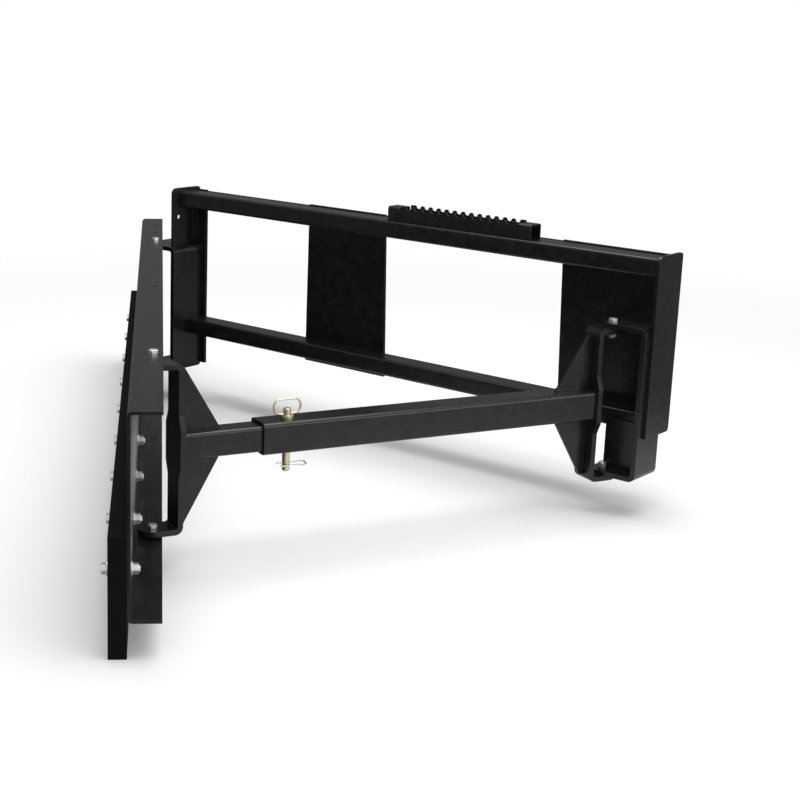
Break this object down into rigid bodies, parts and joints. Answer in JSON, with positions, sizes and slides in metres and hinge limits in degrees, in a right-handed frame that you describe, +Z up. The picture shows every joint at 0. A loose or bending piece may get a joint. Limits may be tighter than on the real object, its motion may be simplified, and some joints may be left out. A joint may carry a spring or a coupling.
{
  "type": "feed pusher attachment",
  "caption": "Angled steel blade with a rubber scraper strip, hinged on a loader coupler frame and held by a telescoping brace, for pushing feed along a barn alley.",
  "frame": {"origin": "midway between the two latch slots, on the latch bar's top face", "axes": "+Z up through the latch slots, +Y back to the loader, -Y forward to the feed, +X along the frame to the brace's end"},
  "size_m": [1.4849, 1.2976, 0.4915],
  "materials": {
    "black_paint": "semi-gloss black powder coat",
    "rubber": "matte black moulded sheet",
    "zinc": "bright zinc plate",
    "yellow_zinc": "yellow zinc plate"
  },
  "bodies": {
    "frame": {"top_rail": "black_paint", "bottom_rail": "black_paint", "left_plate": "black_paint", "center_plate": "black_paint", "right_plate": "black_paint", "left_end_plate": "black_paint", "right_end_plate": "black_paint", "step_tread": "black_paint", "hook_lip": "black_paint", "latch_bar": "black_paint", "left_bracket": "black_paint", "right_bracket": "black_paint", "bracket_plate": "black_paint", "frame_pivot_bolts": "zinc", "frame_pivot_nuts": "zinc"},
    "blade": {"blade_channel": "black_paint", "rubber_strip": "rubber", "blade_bolts": "zinc", "blade_washers": "zinc", "blade_nuts": "zinc", "blade_pivot_bolts": "zinc", "blade_pivot_nuts": "zinc", "pivot_spacers": "black_paint"},
    "outer_brace": {"outer_tube": "black_paint", "outer_yoke": "black_paint", "outer_upper_gusset": "black_paint", "outer_lower_gusset": "black_paint"},
    "inner_brace": {"inner_yoke": "black_paint", "inner_upper_gusset": "black_paint", "inner_lower_gusset": "black_paint", "inner_tube": "black_paint"},
    "hitch_pin": {"hitch_pin": "yellow_zinc", "r_clip": "zinc"},
    "bail": {"pin_bail": "yellow_zinc"}
  },
  "joints": [
    {"name": "blade_swing", "type": "hinge", "parent": "frame", "child": "blade", "pos_m": [-0.632, -0.099, 0.05], "axis": [0, 0, -1], "range_deg": [-2.2, 4.4]},
    {"name": "brace_swing", "type": "hinge", "parent": "frame", "child": "outer_brace", "pos_m": [0.497, -0.099, 0.05], "axis": [0, 0, -1], "range_deg": [-1.1, 2.1]},
    {"name": "brace_slide", "type": "slide", "parent": "outer_brace", "child": "inner_brace", "axis": [-0.4111, -0.9116, 0], "range_m": [-0.04, 0.08]},
    {"name": "hitch_pin_lift", "type": "slide", "parent": "outer_brace", "child": "hitch_pin", "axis": [0, 0, 1], "range_m": [0, 0.021]},
    {"name": "bail_swing", "type": "hinge", "parent": "hitch_pin", "child": "bail", "pos_m": [0.24101, -0.66673, 0.0845], "axis": [0.4111, 0.9116, 0], "range_deg": [-88, 88]}
  ],
  "couplings": [
    {"joint": "brace_swing", "follows": "blade_swing", "ratio": 0.456},
    {"joint": "brace_slide", "follows": "blade_swing", "m_per_rad": 1.025}
  ]
}
